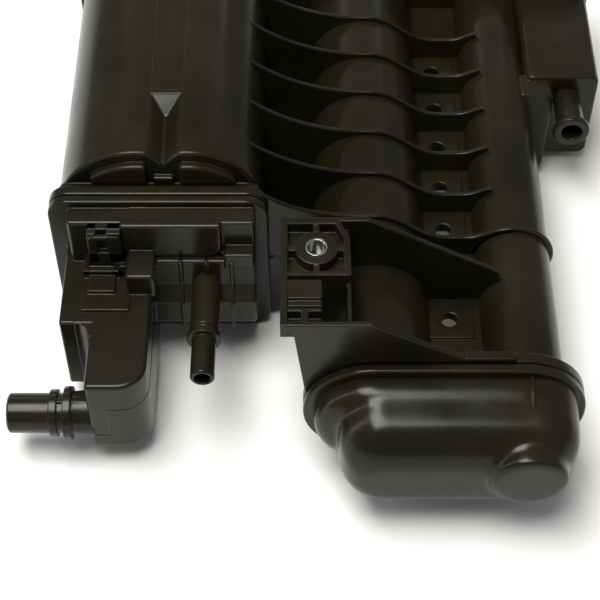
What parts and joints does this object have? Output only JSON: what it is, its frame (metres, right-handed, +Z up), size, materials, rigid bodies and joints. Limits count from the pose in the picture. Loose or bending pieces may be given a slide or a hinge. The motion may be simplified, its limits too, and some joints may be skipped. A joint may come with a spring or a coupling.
{
  "type": "fuel vapour canister",
  "caption": "Moulded automotive canister: a lobed chamber and two ribbed tubes in series, with port cover, transfer bowl, mounting bracket, and sprung carbon beds inside.",
  "frame": {"origin": "centre of the top face of the steel mounting bushing", "axes": "+X to the right seen from the port end, +Y from the ports to the rear cover, +Z up along the mounting bolt"},
  "size_m": [0.2479, 0.2811, 0.0979],
  "materials": {
    "black_plastic": "satin moulded black nylon with an olive cast under soft light",
    "felt": "needled polyester felt",
    "carbon": "packed carbon pellets",
    "natural_plastic": "natural polypropylene",
    "spring_steel": "drawn spring wire",
    "bushing_steel": "zinc-plated turned steel",
    "foam": "open-cell foam"
  },
  "bodies": {
    "canister": {"canister_body": "black_plastic", "port_cover": "black_plastic", "transfer_bowl": "black_plastic", "rear_cover": "black_plastic", "mount_bushing": "bushing_steel", "main_grid": "natural_plastic", "mid_grid": "natural_plastic", "tail_grid": "natural_plastic", "main_front_felt": "felt", "mid_front_felt": "felt", "tail_front_felt": "felt", "main_carbon_bed": "carbon", "mid_carbon_bed": "carbon", "tail_carbon_bed": "carbon", "main_spring_left": "spring_steel", "main_spring_right": "spring_steel", "mid_spring": "spring_steel", "tail_spring": "spring_steel", "vent_filter": "foam"},
    "main_plate": {"main_rear_felt": "felt", "main_press_plate": "natural_plastic"},
    "mid_plate": {"mid_rear_felt": "felt", "mid_press_plate": "natural_plastic"},
    "tail_plate": {"tail_rear_felt": "felt", "tail_press_plate": "natural_plastic"}
  },
  "joints": [
    {"name": "main_press", "type": "slide", "parent": "canister", "child": "main_plate", "axis": [0, 1, 0], "range_m": [0, 0.004], "stiffness_N_per_m": 1500, "springref_m": -0.02, "deforming": ["main_spring_left", "main_spring_right"]},
    {"name": "mid_press", "type": "slide", "parent": "canister", "child": "mid_plate", "axis": [0, 1, 0], "range_m": [0, 0.004], "stiffness_N_per_m": 700, "springref_m": -0.015, "deforming": ["mid_spring"]},
    {"name": "tail_press", "type": "slide", "parent": "canister", "child": "tail_plate", "axis": [0, 1, 0], "range_m": [0, 0.004], "stiffness_N_per_m": 450, "springref_m": -0.012, "deforming": ["tail_spring"]}
  ]
}
